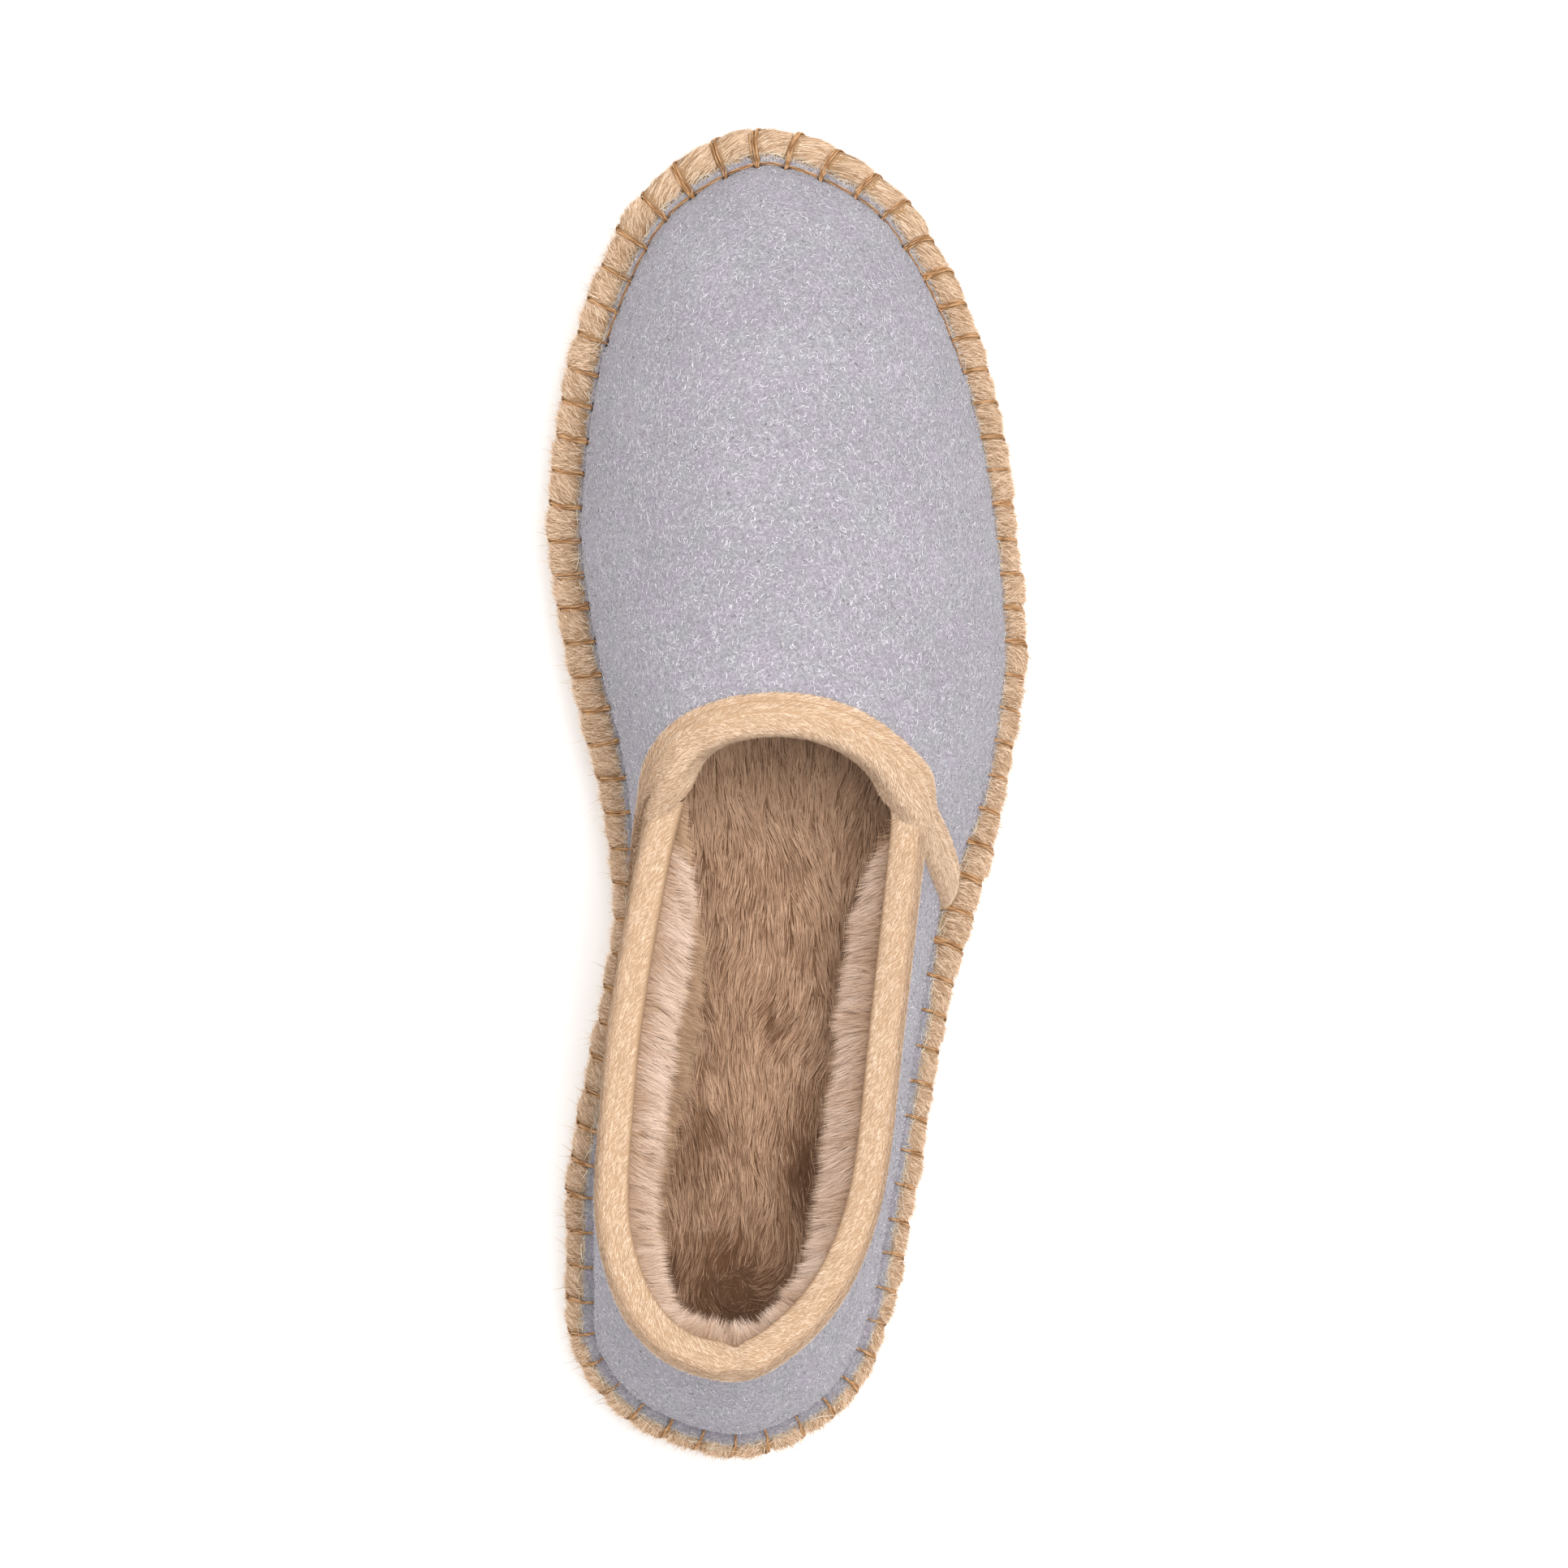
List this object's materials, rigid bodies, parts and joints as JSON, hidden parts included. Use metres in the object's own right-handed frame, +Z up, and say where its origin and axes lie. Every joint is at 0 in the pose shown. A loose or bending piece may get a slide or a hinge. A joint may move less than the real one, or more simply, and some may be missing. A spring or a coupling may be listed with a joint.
{
  "type": "espadrille slipper",
  "caption": "Fur-lined espadrille slipper for the right foot: suede vamp and quarter bound with folded tape, on a plaited jute sole with a thin rubber outsole.",
  "frame": {"origin": "on the floor, under the middle of the sole's bounding box", "axes": "+Y towards the toe, +X towards the outer (little-toe) side, +Z up"},
  "size_m": [0.1004, 0.2797, 0.074],
  "materials": {
    "rubber": "matt natural crepe",
    "jute": "combed natural jute plait",
    "suede": "napped suede, pale blue grey",
    "lining_fur": "deep cream fur",
    "insole_fur": "brown fur",
    "tape": "plush cotton tape"
  },
  "bodies": {
    "root": {"rubber_outsole": "rubber", "jute_sole": "jute", "upper": "suede", "fur_lining": "lining_fur", "fur_insole": "insole_fur", "vamp_binding": "tape", "collar_binding": "tape"}
  },
  "joints": []
}
